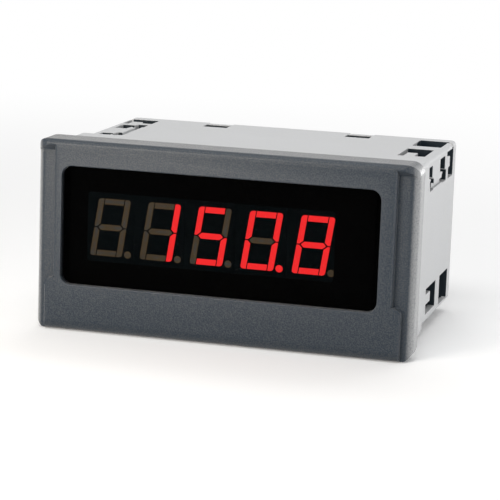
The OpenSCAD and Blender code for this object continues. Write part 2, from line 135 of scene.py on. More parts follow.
# A material with its shader's plain values set, and its tree.
def finish(name, **plain):
    material = bpy.data.materials.new(name)
    material.use_nodes = True
    tree = material.node_tree
    shader = tree.nodes["Principled BSDF"]
    for key, value in plain.items():
        socket = shader.inputs[key.replace("_", " ")]
        socket.default_value = (*value, 1.0) if isinstance(value, tuple) else value
    return material, tree, shader


def shade(factor, colour):
    return tuple(factor * c for c in colour)


frameLook = {
    "colour": (0.001, 0.010, 0.023),
    "fleck": (0.037, 0.044, 0.050),   # paler grain
    "grain": 3000.0,                  # scale of the grain
    "grainDepth": 0.07 * mm,
    "roughness": 0.4,
    "paintedRimHighlight": (0.35, 0.355, 0.36),    # painted highlight on the side rims, pale flecks in place of their gloss; then the rims' roughness
    "rimRoughness": 0.27,
    "rimFrom": 46.4 * mm,
    "rimTo": 47.7 * mm,
}


def framePlastic():
    look = frameLook
    material, tree, shader = finish("framePlastic", Specular_IOR_Level=0.5,
                                    Sheen_Weight=0.3, Sheen_Roughness=0.3)
    at = place(tree)
    grain = noise(tree, at, look["grain"], 3.0, 0.6)
    coarse = noise(tree, at, 160.0, 2.0)
    plain = between(tree, span(tree, grain, 0.40, 0.66), look["colour"], look["fleck"])
    x = axes(tree, at)[0]
    # Painted highlight: towards the side rims the grain turns pale in flecks, standing in for the gloss of light
    # from the side; the rims also get a lower roughness.
    rim = span(tree, calc(tree, "ABSOLUTE", x), look["rimFrom"], look["rimTo"])
    paintedRimHighlight = calc(tree, "MULTIPLY", rim, span(tree, grain, 0.3, 0.55, 0.55, 1.0))
    wire(tree, shader.inputs["Base Color"], between(tree, paintedRimHighlight, plain, look["paintedRimHighlight"]))
    matt = span(tree, calc(tree, "ADD", grain, calc(tree, "MULTIPLY", coarse, 0.4)), 0.4, 1.0,
                look["roughness"] - 0.08, look["roughness"] + 0.1)
    wire(tree, shader.inputs["Roughness"], shaderNode(
        tree, "Mix", {0: rim, 2: matt, 3: look["rimRoughness"]}).outputs[0])
    wire(tree, shader.inputs["Normal"], relief(tree, grain, look["grainDepth"]))
    return material


caseLook = {
    "colour": (0.585, 0.592, 0.6),
    "low": 0.95,                       # how far the tone strays either way
    "high": 1.04,
    "grain": 1900.0,
    "grainDepth": 0.025 * mm,
    "paintedShade": (0.0103, 0.0177, 0.0242),  # painted shade inside the clamp sockets and the hook slots, and on the cover's hooks
    "halfWidth": 44.85 * mm,
    "halfHeight": 21.3 * mm,
    "socketFrom": 17.6 * mm,
    "socketTo": 54.56 * mm,
    "socketReach": 9.6 * mm,           # how far the sockets run from a corner
    "slotFrom": 50.4 * mm,             # the slots that take the cover's hooks
    "slotTo": 55.1 * mm,
    "slotSpan": 36.0 * mm,
    "hookTo": 55.4 * mm,
}


def casePlastic(name, sockets):
    look = caseLook
    material, tree, shader = finish(name, Specular_IOR_Level=0.25)
    at = place(tree)
    grain = noise(tree, at, look["grain"], 3.0, 0.6)
    cloud = noise(tree, at, 45.0, 2.0)
    tone = blend(tree, grain, 0.6, cloud, 0.4)
    colour = between(tree, span(tree, tone, 0.36, 0.64), shade(look["low"], look["colour"]),
                     shade(look["high"], look["colour"]))
    if sockets:
        # Depth under the nearer of the side face and the top or bottom face, and reach from the farther of them
        x, y, z = axes(tree, at)
        inX = calc(tree, "SUBTRACT", look["halfWidth"], calc(tree, "ABSOLUTE", x))
        inZ = calc(tree, "SUBTRACT", look["halfHeight"], calc(tree, "ABSOLUTE", z))
        depth = calc(tree, "MINIMUM", inX, inZ)
        reach = calc(tree, "MAXIMUM", inX, inZ)
        # Painted shade: walls inside the sockets that face the front, and all that lies deeper than about a
        # millimetre under the faces, take the shade colour.
        facing = axes(tree, shaderNode(tree, "NewGeometry").outputs["True Normal"])[1]
        toFront = span(tree, facing, -0.85, -0.95)
        dark = calc(tree, "MAXIMUM",
                    calc(tree, "MULTIPLY", toFront, span(tree, depth, 0.02 * mm, 0.12 * mm)),
                    span(tree, depth, 0.9 * mm, 2.6 * mm, smooth=True))
        for value, low, high in ((y, look["socketFrom"] - 0.1 * mm, look["socketFrom"]),
                                 (y, look["socketTo"], look["socketTo"] - 0.05 * mm),
                                 (reach, look["socketReach"] + 0.2 * mm, look["socketReach"]),
                                 (reach, 1.2 * mm, 1.3 * mm)):
            dark = calc(tree, "MULTIPLY", dark, span(tree, value, low, high))
        # Painted shade in the slots that take the cover's hooks.
        slot = span(tree, inZ, 0.15 * mm, 0.35 * mm)
        for value, low, high in ((y, look["slotFrom"] - 0.05 * mm, look["slotFrom"]),
                                 (y, look["slotTo"] + 0.05 * mm, look["slotTo"]),
                                 (calc(tree, "ABSOLUTE", x), look["slotSpan"] + 0.1 * mm, look["slotSpan"])):
            slot = calc(tree, "MULTIPLY", slot, span(tree, value, low, high))
        dark = calc(tree, "MAXIMUM", dark, slot)
    else:
        # Painted shade on the hooks and the sides that lie inside the housing
        dark = span(tree, axes(tree, at)[1], look["hookTo"] + 0.2 * mm, look["hookTo"])
    colour = between(tree, dark, colour, look["paintedShade"])
    wire(tree, shader.inputs["Base Color"], colour)
    wire(tree, shader.inputs["Roughness"], span(tree, tone, 0.3, 0.7, 0.46, 0.62))
    wire(tree, shader.inputs["Normal"], relief(tree, grain, look["grainDepth"]))
    return material


paneLook = {
    "colour": (0.0006, 0.0006, 0.0007),
    "tint": 0.35,                      # how much of what lies behind it the pane covers
    "gloss": 0.006,
    "index": 1.49,
    "polish": (0.14, 0.24),            # roughness where the haze is thin and thick
    "wave": 0.004 * mm,
}


# Tinted acrylic: upright streaks of haze in the gloss, over a slow wave of the surface.
def tintedPane():
    look = paneLook
    material, tree, shader = finish("tintedPane", Base_Color=look["colour"], Alpha=look["tint"],
                                    Specular_IOR_Level=look["gloss"], IOR=look["index"])
    at = place(tree)
    haze = noise(tree, stretched(tree, at, (60.0, 60.0, 14.0)), 3.0, 4.0, 0.6)
    wire(tree, shader.inputs["Roughness"], span(tree, haze, 0.3, 0.7, *look["polish"]))
    wire(tree, shader.inputs["Normal"], relief(tree, noise(tree, at, 90.0), look["wave"]))
    return material


# Moulded or coated surface: fine grain in tone, gloss and relief over slow clouds.
def plainMoulding(name, colour, spread=0.12, grainSize=1500.0, depth=0.02 * mm, roughness=0.55,
                  specular=0.4):
    material, tree, shader = finish(name, Specular_IOR_Level=specular)
    at = place(tree)
    grain = noise(tree, at, grainSize, 3.0, 0.6)
    cloud = noise(tree, at, grainSize / 22.0, 2.0)
    tone = blend(tree, grain, 0.65, cloud, 0.35)
    wire(tree, shader.inputs["Base Color"], between(
        tree, span(tree, tone, 0.33, 0.67), shade(1.0 - spread, colour), shade(1.0 + spread, colour)))
    wire(tree, shader.inputs["Roughness"], span(tree, tone, 0.3, 0.7, roughness - 0.08, roughness + 0.08))
    wire(tree, shader.inputs["Normal"], relief(tree, grain, depth))
    return material


displayLook = {
    "backing": (0.0052, 0.0095, 0.0112),
    "lit": (1.0, 0.028, 0.030),
    "litStrength": 1.82,
    "unlit": (0.215, 0.150, 0.080),
    "unlitMiddle": (0.165, 0.160, 0.150),
    "pitch": 12.9 * mm,
    "foot": -34.3 * mm,                # left side of the first digit's foot
    "floor": -4.75 * mm,               # foot of the digits
    "lean": math.tan(math.radians(8.3)),
    "width": 8.3 * mm,
    "height": 14.4 * mm,
    "bar": 1.45 * mm,
}


# Dark bars: smoky resin with a greyer middle, along each bar's centre line.
def unlitPlastic():
    look = displayLook
    material, tree, shader = finish("unlitPlastic", Specular_IOR_Level=0.2, Roughness=0.5)
    at = place(tree)
    x, y, z = axes(tree, at)
    up = calc(tree, "SUBTRACT", z, look["floor"])
    along = calc(tree, "SUBTRACT", calc(tree, "SUBTRACT", x, look["foot"]),
                 calc(tree, "MULTIPLY", up, look["lean"]))
    local = calc(tree, "WRAP", along, look["pitch"], 0.0)
    half = look["bar"] / 2
    lines = [calc(tree, "ABSOLUTE", calc(tree, "SUBTRACT", value, level)) for value, level in (
        (local, half), (local, look["width"] - half), (up, half), (up, look["height"] / 2),
        (up, look["height"] - half))]
    nearest = lines[0]
    for line in lines[1:]:
        nearest = calc(tree, "MINIMUM", nearest, line)
    cloud = noise(tree, at, 420.0, 3.0, 0.6)
    middle = calc(tree, "MULTIPLY", span(tree, nearest, 0.5 * mm, 0.15 * mm, smooth=True),
                  span(tree, cloud, 0.35, 0.6))
    wire(tree, shader.inputs["Base Color"], between(tree, middle, look["unlit"], look["unlitMiddle"]))
    wire(tree, shader.inputs["Normal"], relief(tree, noise(tree, at, 1600.0), 0.01 * mm))
    return material


def litPlastic():
    look = displayLook
    material, tree, shader = finish("litPlastic", Base_Color=(0.35, 0.01, 0.01), Specular_IOR_Level=0.1,
                                    Emission_Color=look["lit"])
    at = place(tree)
    cloud = noise(tree, at, 700.0, 2.0)
    wire(tree, shader.inputs["Emission Strength"], span(
        tree, cloud, 0.3, 0.7, 0.97 * look["litStrength"], 1.03 * look["litStrength"]))
    wire(tree, shader.inputs["Roughness"], span(tree, cloud, 0.3, 0.7, 0.4, 0.55))
    return material


# Bare or plated metal: brushed or mottled in tone, gloss and relief. Nearer the front than the given depth its
# colour is
# darkened: painted shade on the floors of the screws' slots and on the rest of the screw nearer the front.
def metal(name, colour, roughness=0.32, brushed=(1.0, 1.0, 1.0), scale=1400.0, depth=0.006 * mm,
          shadeBelow=None):
    material, tree, shader = finish(name, Metallic=1.0)
    at = stretched(tree, place(tree), brushed)
    streak = noise(tree, at, scale, 3.0, 0.6)
    cloud = noise(tree, at, scale / 9.0, 2.0)
    tone = blend(tree, streak, 0.6, cloud, 0.4)
    metalColour = between(tree, span(tree, tone, 0.34, 0.66), shade(0.86, colour), shade(1.06, colour))
    # Painted shade on all of the screw nearer the front than the given depth.
    if shadeBelow:
        y = axes(tree, place(tree))[1]
        low = span(tree, y, shadeBelow + 0.1 * mm, shadeBelow - 0.1 * mm)
        metalColour = between(tree, low, metalColour, shade(0.16, colour))
    wire(tree, shader.inputs["Base Color"], metalColour)
    wire(tree, shader.inputs["Roughness"], span(tree, tone, 0.3, 0.7, roughness - 0.08, roughness + 0.12))
    wire(tree, shader.inputs["Normal"], relief(tree, streak, depth))
    return material


boardLook = {
    "mask": ((0.016, 0.105, 0.040), (0.024, 0.14, 0.052)),
    "track": (0.045, 0.22, 0.085),
    "trackShare": 0.55,                # how much a track shows through the mask
    "land": (0.62, 0.60, 0.55),
    "trackScale": 260.0,
    "landScale": 390.0,
    "depth": 0.035 * mm,
}


# Green boards: mask over fine tracks on a grid, with tinned lands.
def solderMask():
    look = boardLook
    material, tree, shader = finish("solderMask", Specular_IOR_Level=0.5)
    at = place(tree)
    tracks = shaderNode(tree, "TexBrick", {
        "Vector": at, "Scale": look["trackScale"], "Mortar Size": 0.035,
        "Mortar Smooth": 0.2, "Brick Width": 0.9, "Row Height": 0.33}, offset=0.5)
    track = tracks.outputs["Fac"]
    cloud = noise(tree, at, 55.0, 3.0)
    green = between(tree, span(tree, cloud, 0.3, 0.7), *look["mask"])
    colour = between(tree, calc(tree, "MULTIPLY", track, look["trackShare"]), green, look["track"])
    lands = span(tree, cells(tree, at, look["landScale"]), 0.16, 0.13)
    colour = between(tree, lands, colour, look["land"])
    wire(tree, shader.inputs["Base Color"], colour)
    wire(tree, shader.inputs["Metallic"], calc(tree, "MULTIPLY", lands, 0.9))
    wire(tree, shader.inputs["Roughness"], span(tree, noise(tree, at, 900.0), 0.3, 0.7, 0.26, 0.4))
    wire(tree, shader.inputs["Normal"], relief(
        tree, calc(tree, "ADD", track, calc(tree, "MULTIPLY", lands, 0.6)), look["depth"]))
    return material


coreLook = {
    "sheet": 0.5 * mm,                 # thickness of one stamped sheet
    "steel": ((0.30, 0.30, 0.31), (0.46, 0.46, 0.47)),
    "varnish": (0.05, 0.045, 0.04),
    "depth": 0.06 * mm,
}


# Core of thin stamped sheets, stacked in height, with dark varnish between them.
def laminatedSteel():
    look = coreLook
    material, tree, shader = finish("laminatedSteel", Metallic=1.0)
    at = place(tree)
    z = axes(tree, at)[2]
    sheet = calc(tree, "FRACT", calc(tree, "DIVIDE", z, look["sheet"]))
    gapLine = span(tree, calc(tree, "ABSOLUTE", calc(tree, "SUBTRACT", sheet, 0.5)), 0.36, 0.46)
    rust = noise(tree, at, 300.0, 4.0, 0.6)
    steel = between(tree, span(tree, rust, 0.35, 0.65), *look["steel"])
    wire(tree, shader.inputs["Base Color"], between(tree, gapLine, steel, look["varnish"]))
    wire(tree, shader.inputs["Roughness"], span(tree, rust, 0.3, 0.7, 0.34, 0.55))
    wire(tree, shader.inputs["Normal"], relief(tree, calc(tree, "SUBTRACT", 1.0, gapLine), look["depth"]))
    return material


canLook = {
    "sleeve": ((0.012, 0.016, 0.075), (0.02, 0.028, 0.11)),
    "bare": (0.72, 0.72, 0.73),
}


# Capacitors: dark blue shrink sleeve round the side, bare aluminium on the top.
def canSleeve():
    material, tree, shader = finish("canSleeve", Specular_IOR_Level=0.5)
    at = place(tree)
    up = axes(tree, shaderNode(tree, "NewGeometry").outputs["True Normal"])[2]
    bare = span(tree, up, 0.9, 0.96)
    grain = noise(tree, at, 700.0, 3.0)
    sleeve = between(tree, span(tree, grain, 0.3, 0.7), *canLook["sleeve"])
    wire(tree, shader.inputs["Base Color"], between(tree, bare, sleeve, canLook["bare"]))
    wire(tree, shader.inputs["Metallic"], bare)
    wire(tree, shader.inputs["Roughness"], span(tree, grain, 0.3, 0.7, 0.22, 0.38))
    wire(tree, shader.inputs["Normal"], relief(tree, grain, 0.02 * mm))
    return material


regulatorLook = {
    "body": ((0.012, 0.012, 0.013), (0.03, 0.03, 0.032)),
    "tab": (0.62, 0.62, 0.6),
    "tabHeight": -2.0 * mm,            # where the body ends and the tab begins
    "fade": 0.05 * mm,
}


# Power regulator: black body below, tinned tab above.
def regulatorFinish():
    look = regulatorLook
    material, tree, shader = finish("regulatorFinish", Specular_IOR_Level=0.45)
    at = place(tree)
    z = axes(tree, at)[2]
    tab = span(tree, z, look["tabHeight"] - look["fade"], look["tabHeight"] + look["fade"])
    grain = noise(tree, at, 1500.0, 3.0)
    wire(tree, shader.inputs["Base Color"], between(
        tree, tab, between(tree, grain, *look["body"]), look["tab"]))
    wire(tree, shader.inputs["Metallic"], tab)
    wire(tree, shader.inputs["Roughness"], span(tree, grain, 0.3, 0.7, 0.34, 0.52))
    wire(tree, shader.inputs["Normal"], relief(tree, grain, 0.02 * mm))
    return material


wirePitch = 0.4 * mm                   # from one turn of wire to the next
wireTone = ((0.52, 0.19, 0.07), (0.80, 0.36, 0.16))


# Copper wire under amber enamel, with each turn a little different.
def enamelledWire():
    material, tree, shader = finish("enamelledWire", Metallic=0.85, Coat_Weight=0.6, Coat_Roughness=0.15)
    at = place(tree)
    y = axes(tree, at)[1]
    turn = shaderNode(tree, "TexWhiteNoise", noise_dimensions="1D")
    wire(tree, turn.inputs["W"], calc(tree, "FLOOR", calc(tree, "DIVIDE", y, wirePitch)))
    streak = noise(tree, at, 900.0, 3.0)
    tone = blend(tree, turn.outputs[0], 0.5, streak, 0.5)
    wire(tree, shader.inputs["Base Color"], between(tree, tone, *wireTone))
    wire(tree, shader.inputs["Roughness"], span(tree, streak, 0.3, 0.7, 0.26, 0.42))
    return material


looks = {
    "frame": framePlastic(),
    "case": casePlastic("casePlastic", True),
    "cover": casePlastic("coverPlastic", False),
    "pane": tintedPane(),
    "mask": plainMoulding("maskPrint", (0.0006, 0.0006, 0.0006), roughness=0.8, specular=0.05),
    "digit": plainMoulding("digitPlastic", displayLook["backing"], roughness=0.75, specular=0.05,
                           depth=0.01 * mm),
    "lit": litPlastic(),
    "unlit": unlitPlastic(),
    "seal": plainMoulding("sealRubber", (0.018, 0.018, 0.019), 0.3, 900.0, 0.05 * mm, 0.8, 0.3),
    "board": solderMask(),
    "chip": plainMoulding("chipPlastic", (0.02, 0.02, 0.021), 0.25, 2200.0, 0.02 * mm, 0.5),
    "contact": metal("tinnedBrass", (0.80, 0.66, 0.36), 0.28),
    "core": laminatedSteel(),
    "bobbin": plainMoulding("bobbinPlastic", (0.74, 0.69, 0.54), 0.06, 1100.0, 0.02 * mm, 0.45),
    "wire": enamelledWire(),
    "can": canSleeve(),
    "regulator": regulatorFinish(),
    "fuse": plainMoulding("fuseResin", (0.20, 0.085, 0.035), 0.15, 1300.0, 0.03 * mm, 0.35, 0.5),
    "crystal": metal("crystalCan", (0.74, 0.74, 0.75), 0.25),
    "numeral": plainMoulding("numeralInk", (0.62, 0.63, 0.63), 0.08, 1500.0, 0.02 * mm, 0.6),
    "strip": plainMoulding("stripPlastic", (0.045, 0.052, 0.058), 0.18, 2000.0, 0.03 * mm, 0.5),
    "screw": metal("zincScrew", (0.76, 0.76, 0.77), 0.26, depth=0.008 * mm, shadeBelow=56.35 * mm),
    "clamp": metal("zincClamp", (0.70, 0.71, 0.70), 0.34, (1.0, 0.25, 1.0)),
}
print("finishes made:", len(looks))

nodeLooks = {
    "front_frame": "frame", "window": "pane", "display_mask": "mask", "panel_seal": "seal",
    "housing": "case", "rear_cover": "cover", "lit_bars": "lit", "unlit_bars": "unlit",
    "display_board": "board", "main_board": "board", "supply_board": "board",
    "header_block": "chip", "header_pins": "contact", "link_spacer": "chip", "link_pins": "contact",
    "transformer_core": "core", "transformer_bobbin": "bobbin", "transformer_winding": "wire",
    "smoothing_capacitor": "can", "output_capacitors": "can", "rectifier": "chip",
    "regulator": "regulator", "fuse": "fuse", "controller_chip": "chip", "converter_chip": "chip",
    "crystal": "crystal", "terminal_strip": "strip", "contact_bars": "contact",
}
nodeLooks.update({"digit_%d" % k: "digit" for k in range(1, 6)})
nodeLooks.update({"terminal_screw_%d" % i: "screw" for i in poles})
nodeLooks.update({"wire_clamp_%d" % i: "clamp" for i in poles})

for nodeName, lookName in nodeLooks.items():
    for materialSlot in nodes[nodeName].material_slots:
        materialSlot.link = "OBJECT"
        materialSlot.material = looks[lookName]
print("nodes dressed:", len(nodeLooks))


# A piece of the object from a finished mesh, riding on a body in place of some nodes.
def put(name, mesh, look, body, slotName, *replaced):
    piece = bpy.data.objects.new(name, mesh)
    bpy.context.scene.collection.objects.link(piece)
    mesh.materials.clear()
    mesh.materials.append(looks[look])
    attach(piece, body)
    if replaced:
        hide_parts(*replaced)
    return piece


merging = {
    "node": 0.002 * mm,                # points nearer than this become one, on a copy of a node or a numeral
    "grid": 0.0005 * mm,               # and on a piece made from a grid
}


# A mesh with its doubles merged and its faces turned outwards.
def closed(mesh, distance):
    work = bmesh.new()
    work.from_mesh(mesh)
    bmesh.ops.remove_doubles(work, verts=work.verts, dist=distance)
    bmesh.ops.recalc_face_normals(work, faces=work.faces)
    work.to_mesh(mesh)
    work.free()


foldLimits = {
    "flat": math.radians(0.3),         # faces within this of one plane are one flat region
    "folded": math.radians(150),       # an edge sharper than this is a fold
}


# Breaking an edge can fold a thin triangle over on a flat face. Each flat region with a fold in it loses its
# triangles, and its outline is filled again.
def unfolded(mesh):
    work = bmesh.new()
    work.from_mesh(mesh)
    bmesh.ops.triangulate(work, faces=work.faces)
    work.normal_update()
    flat = foldLimits["flat"]

    def inPlane(edge):
        angle = edge.calc_face_angle(1.0)
        return edge.is_manifold and (angle < flat or angle > math.pi - flat)

    pending = {face for edge in work.edges
               if edge.is_manifold and edge.calc_face_angle(0) > foldLimits["folded"]
               for face in edge.link_faces}
    while pending:
        region, front = set(), [pending.pop()]
        while front:
            face = front.pop()
            region.add(face)
            front += [near for edge in face.edges if inPlane(edge)
                      for near in edge.link_faces if near not in region]
        pending -= region
        normal = max(region, key=lambda face: face.calc_area()).normal.copy()
        outline = [edge for edge in {edge for face in region for edge in face.edges}
                   if any(face not in region for face in edge.link_faces)]
        bmesh.ops.delete(work, geom=list(region), context="FACES_ONLY")
        filled = bmesh.ops.triangle_fill(work, use_beauty=True, use_dissolve=False, edges=outline,
                                         normal=normal)
        for face in filled["geom"]:
            if isinstance(face, bmesh.types.BMFace):
                face.normal_update()
                if face.normal.dot(normal) < 0:
                    face.normal_flip()
                face.smooth = True
    bmesh.ops.delete(work, geom=[edge for edge in work.edges if not edge.link_faces], context="EDGES")
    bmesh.ops.delete(work, geom=[vert for vert in work.verts if not vert.link_faces], context="VERTS")
    work.to_mesh(mesh)
    work.free()


# A copy of a node with its doubles merged and its edges broken. An edge sharper than the angle gets a round,
# unless an edge at one of its ends is shorter than room times the round's width.
def softened(name, node, look, body, slotName, width, room=2.0, segments=3, sharp=30.0):
    work = bmesh.new()
    work.from_mesh(nodes[node].data)
    bmesh.ops.remove_doubles(work, verts=work.verts, dist=merging["node"])
    bmesh.ops.dissolve_degenerate(work, edges=work.edges, dist=merging["node"])
    weight = work.edges.layers.float.new("bevel_weight_edge")
    for edge in work.edges:
        if edge.is_manifold and edge.calc_face_angle() > math.radians(sharp):
            shortest = min(near.calc_length() for end in edge.verts for near in end.link_edges)
            edge[weight] = float(shortest >= room * width)
    plain = bpy.data.meshes.new(name)
    work.to_mesh(plain)
    work.free()
    if "custom_normal" in plain.attributes:
        plain.attributes.remove(plain.attributes["custom_normal"])
    plain.shade_smooth()
    plain.set_sharp_from_angle(angle=math.radians(sharp))
    blank = bpy.data.objects.new(name + "Blank", plain)
    bpy.context.scene.collection.objects.link(blank)
    rounds = blank.modifiers.new("brokenEdges", "BEVEL")
    rounds.width = width
    rounds.segments = segments
    rounds.limit_method = "WEIGHT"
    rounds.use_clamp_overlap = False
    rounds.miter_outer = "MITER_ARC"
    rounds.face_strength_mode = "FSTR_ALL"
    bpy.context.view_layer.update()
    mesh = bpy.data.meshes.new_from_object(blank.evaluated_get(bpy.context.evaluated_depsgraph_get()))
    bpy.data.objects.remove(blank)
    unfolded(mesh)
    piece = put(name, mesh, look, body, slotName, node)
    flats = piece.modifiers.new("flatFaces", "WEIGHTED_NORMAL")
    flats.keep_sharp = True
    flats.use_face_influence = True
    return piece


edgeWidths = {
    "frontFrame": 0.2 * mm,
    "windowPane": 0.12 * mm,
    "housingShell": 0.15 * mm,
    "rearCover": 0.16 * mm,
    "terminalStrip": 0.12 * mm,
    "wireClamp": 0.1 * mm,
}
softened("frontFrame", "front_frame", "frame", "case", "frame_plastic", edgeWidths["frontFrame"])
softened("windowPane", "window", "pane", "case", "window_acrylic", edgeWidths["windowPane"])
softened("housingShell", "housing", "case", "case", "case_plastic", edgeWidths["housingShell"], segments=2)
softened("rearCover", "rear_cover", "cover", "case", "case_plastic", edgeWidths["rearCover"])
softened("terminalStrip", "terminal_strip", "strip", "case", "strip_plastic", edgeWidths["terminalStrip"],
         room=1.0, segments=2)
for i in poles:
    softened("wireClamp%d" % i, "wire_clamp_%d" % i, "clamp", "clamp_%d" % i, "clamp_steel",
             edgeWidths["wireClamp"], room=1.0)
print("frame, pane, housing, cover, strip and clamps softened")


# Faces of a grid of points whose columns go round: each joins a point and its neighbour round with the same two
# of the next row.
def quadsRound(index):
    around = np.hstack([index, index[:, :1]])
    quads = np.stack([around[:-1, :-1], around[:-1, 1:], around[1:, 1:], around[1:, :-1]], -1)
    return quads.reshape(-1, 4).tolist()


# One mesh from closed grids of points (rows, columns, xyz). Columns go round, and the two end rows are capped.
def shells(name, *grids):
    points, faces, base = [], [], 0
    for grid in grids:
        rows, columns = grid.shape[:2]
        index = base + np.arange(rows * columns).reshape(rows, columns)
        faces += quadsRound(index) + [index[0, ::-1].tolist(), index[-1].tolist()]
        points.append(grid.reshape(-1, 3))
        base += rows * columns
    mesh = bpy.data.meshes.new(name)
    mesh.from_pydata(np.concatenate(points), [], faces)
    closed(mesh, merging["grid"])
    mesh.shade_smooth()
    mesh.set_sharp_from_angle(angle=math.radians(35))
    return mesh


screwSize = {
    "headRadius": 2.5 * mm,
    "headFrom": 55.1 * mm,
    "headTo": 57.0 * mm,
    "crown": 0.22 * mm,               # how much higher the middle of the head is than its rim
    "rim": 0.35 * mm,                 # rounding of the head's rim
    "slotHalf": 0.4 * mm,
    "slotFloor": 56.0 * mm,
    "shankRadius": 1.45 * mm,
    "shankFrom": 48.9 * mm,
    "threadDepth": 0.27 * mm,
    "pitch": 0.5 * mm,
    "height": -15.2 * mm,
    "headColumns": 41,                # points across the head, and along each of its chords
    "headRows": 25,
    "turns": 14,                      # the shank's rows, as turns of thread times rows in a turn
    "turnRows": 12,
    "shankColumns": 32,
}


# Slotted head. Columns run across the head; a column's height is the crown, a paraboloid whose rim turns
# down in a quarter circle, or the slot's floor where it lies between the slot's walls. Each column's loop goes
# along the chord on top and back along the chord underneath.
def screwHead(centreX):
    s = screwSize
    radius, half = s["headRadius"], s["slotHalf"]
    across = radius * np.sin(np.linspace(-1, 1, s["headColumns"]) * math.pi / 2)
    across = across[np.abs(across) > half + 0.05 * mm]
    walls = np.array([-half - 1e-7, -half, half, half + 1e-7])
    slotted = np.array([-half, -half / 2, 0.0, half / 2, half])
    columns = np.sort(np.concatenate([across, walls[[0, 3]], slotted]))
    inSlot = np.abs(columns) <= half
    chord = np.sqrt(np.maximum(radius ** 2 - columns ** 2, (0.03 * radius) ** 2))[:, None]
    along = np.sin(np.linspace(-1, 1, s["headRows"]) * math.pi / 2)[None, :]
    z = chord * along
    r = np.minimum(np.sqrt(columns[:, None] ** 2 + z ** 2), radius)
    turn = np.clip((r - (radius - s["rim"])) / s["rim"], 0, 1)
    top = s["headTo"] - s["crown"] * (r / radius) ** 2 - s["rim"] * (1 - np.sqrt(1 - turn ** 2))
    top = np.where(inSlot[:, None], np.minimum(top, s["slotFloor"]), top)
    bottom = np.full_like(z, s["headFrom"])
    x = np.repeat(columns[:, None], 2 * along.size, axis=1) + centreX
    return np.stack([x, np.hstack([top, bottom]), np.hstack([z, z[:, ::-1]]) + s["height"]], -1)


# Threaded shank: the radius falls by a triangle wave of the axial place less one pitch per turn, and tapers at
# the tip.
def screwShank(centreX):
    s = screwSize
    y = np.linspace(s["shankFrom"], s["headFrom"] + 0.2 * mm, s["turns"] * s["turnRows"] + 1)[:, None]
    angle = np.linspace(0, 2 * math.pi, s["shankColumns"], endpoint=False)[None, :]
    phase = np.mod(y / s["pitch"] - angle / (2 * math.pi), 1.0)
    plainNeck = np.clip((s["headFrom"] - 0.3 * mm - y) / (0.25 * mm), 0, 1)
    tip = np.clip((y - s["shankFrom"]) / (0.5 * mm), 0, 1)
    radius = s["shankRadius"] - s["threadDepth"] * np.abs(2 * phase - 1) * plainNeck
    radius = radius * (0.72 + 0.28 * np.sqrt(tip))
    return np.stack([centreX + radius * np.sin(angle), y + 0 * angle,
                     s["height"] + radius * np.cos(angle)], -1)


for i in poles:
    low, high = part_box("terminal_screw_%d" % i)
    middle = (low.x + high.x) / 2
    mesh = shells("slottedScrew%d" % i, screwHead(middle), screwShank(middle))
    put("slottedScrew%d" % i, mesh, "screw", "screw_%d" % i, "screw_steel", "terminal_screw_%d" % i)
print("slotted screws made")

numeralSize = {
    "size": 2.4 * mm,
    "raised": 0.12 * mm,
    "sunk": 0.15 * mm,
    "height": -11.2 * mm,             # foot of the numerals
}


# Moulded numerals 1 to 6 over the terminals. Each outline is filled flat, then carried straight out of the face.
def terminalNumeral(count):
    s = numeralSize
    _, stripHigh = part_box("terminal_strip")
    curve = bpy.data.curves.new("numeral%d" % count, "FONT")
    curve.body = str(count)
    curve.size = s["size"]
    curve.align_x = "CENTER"
    curve.extrude = (s["raised"] + s["sunk"]) / 2
    typed = bpy.data.objects.new("numeral%d" % count, curve)
    bpy.context.scene.collection.objects.link(typed)
    bpy.context.view_layer.update()
    mesh = bpy.data.meshes.new_from_object(typed.evaluated_get(bpy.context.evaluated_depsgraph_get()))
    bpy.data.objects.remove(typed)
    flat = np.empty(len(mesh.vertices) * 3)
    mesh.vertices.foreach_get("co", flat)
    flat = flat.reshape(-1, 3)
    screwLow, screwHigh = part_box("terminal_screw_%d" % count)
    out = stripHigh.y + (s["raised"] - s["sunk"]) / 2
    placed = np.stack([(screwLow.x + screwHigh.x) / 2 - flat[:, 0], out + flat[:, 2],
                       s["height"] + flat[:, 1]], -1)
    mesh.vertices.foreach_set("co", placed.ravel())
    closed(mesh, merging["node"])
    put("terminalNumeral%d" % count, mesh, "numeral", "case", "case_plastic")


for i in poles:
    terminalNumeral(i)
print("terminal numerals made")

coilSize = {
    "halfWidth": 9.3 * mm,
    "halfHeight": 7.0 * mm,
    "boreHalfWidth": 5.9 * mm,
    "boreHalfHeight": 5.4 * mm,
    "halfLength": 6.6 * mm,
    "cornerRadius": 2.0 * mm,
    "bulge": 0.16 * mm,
    "boreRadius": 0.3 * mm,
    "turns": 33,
    "turnRows": 8,
    "columns": 48,
}


# Points round a rectangle with round corners, by angle; each corner takes a quarter of them.
def roundLoop(halfWidth, halfHeight, radius, count):
    quarter = count // 4
    turn = np.linspace(0, math.pi / 2, quarter)
    corners = []
    for k, (sx, sz) in enumerate(((1, 1), (-1, 1), (-1, -1), (1, -1))):
        a = turn + k * math.pi / 2
        corners.append(np.stack([sx * (halfWidth - radius) + radius * np.cos(a),
                                 sz * (halfHeight - radius) + radius * np.sin(a)], -1))
    return np.concatenate(corners)


